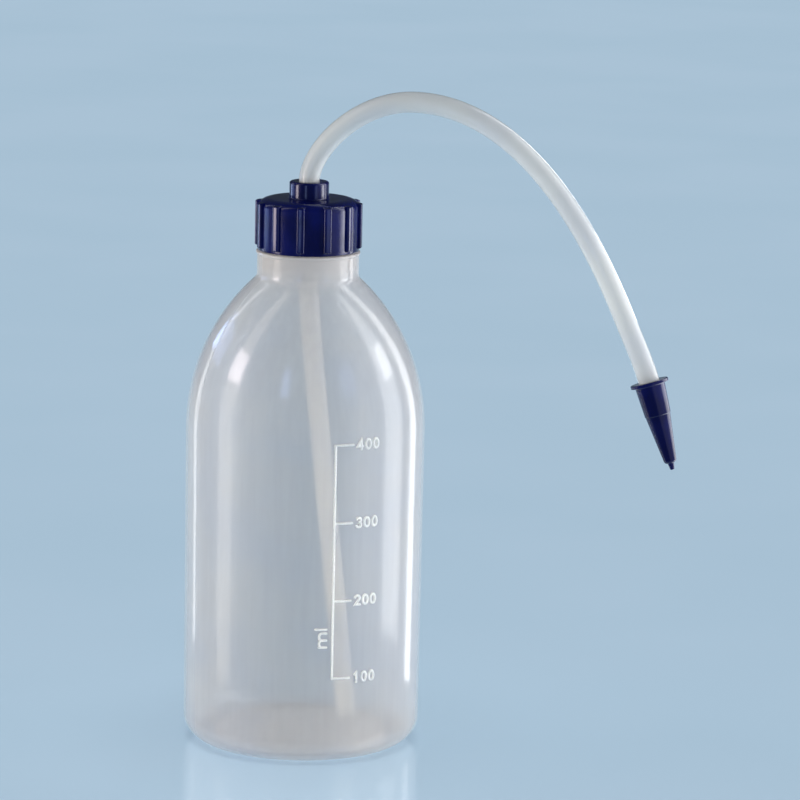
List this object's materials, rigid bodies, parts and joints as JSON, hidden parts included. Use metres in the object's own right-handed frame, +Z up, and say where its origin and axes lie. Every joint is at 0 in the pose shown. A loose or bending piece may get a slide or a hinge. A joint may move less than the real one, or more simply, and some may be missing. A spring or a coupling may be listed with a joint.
{
  "type": "wash bottle",
  "caption": "Translucent squeeze bottle with a ribbed screw cap and one bent delivery tube that runs from the bottle's floor, over an arch, to a fine tapered nozzle.",
  "frame": {"origin": "centre of the base; the standing ring is on z = 0 and the moulded base panel is 1 mm above it", "axes": "+Z up along the bottle's axis, +X towards the spout, +Y across"},
  "size_m": [0.1589, 0.075, 0.2079],
  "materials": {
    "milky_bottle": "natural milky blow-moulded polyethylene, soft gloss",
    "milky_tube": "natural extruded polyethylene, soft gloss",
    "navy_cap": "dark navy moulded polypropylene, glossy",
    "navy_nozzle": "dark navy moulded polypropylene, glossy",
    "seal_disc": "soft off-white foam disc, matt"
  },
  "bodies": {
    "bottle_body": {"bottle": "milky_bottle"},
    "seal_body": {"cap_seal": "seal_disc"},
    "cap_body": {"screw_cap": "navy_cap"},
    "spout_body": {"delivery_tube": "milky_tube"},
    "nozzle_body": {"nozzle": "navy_nozzle"}
  },
  "joints": [
    {"name": "cap_rise", "type": "slide", "parent": "bottle_body", "child": "seal_body", "axis": [0, 0, 1], "range_m": [0, 0.00641]},
    {"name": "cap_turn", "type": "hinge", "parent": "seal_body", "child": "cap_body", "pos_m": [0, 0, 0.165], "axis": [0, 0, 1], "range_deg": [0, 720]},
    {"name": "spout_swivel", "type": "hinge", "parent": "cap_body", "child": "spout_body", "pos_m": [0, 0, 0.175], "axis": [0, 0, 1], "continuous": true},
    {"name": "nozzle_pull", "type": "slide", "parent": "spout_body", "child": "nozzle_body", "axis": [0.3007, 0, -0.9537], "range_m": [0, 0.015]}
  ],
  "couplings": [
    {"joint": "cap_rise", "follows": "cap_turn", "m_per_rad": 0.0005093}
  ]
}
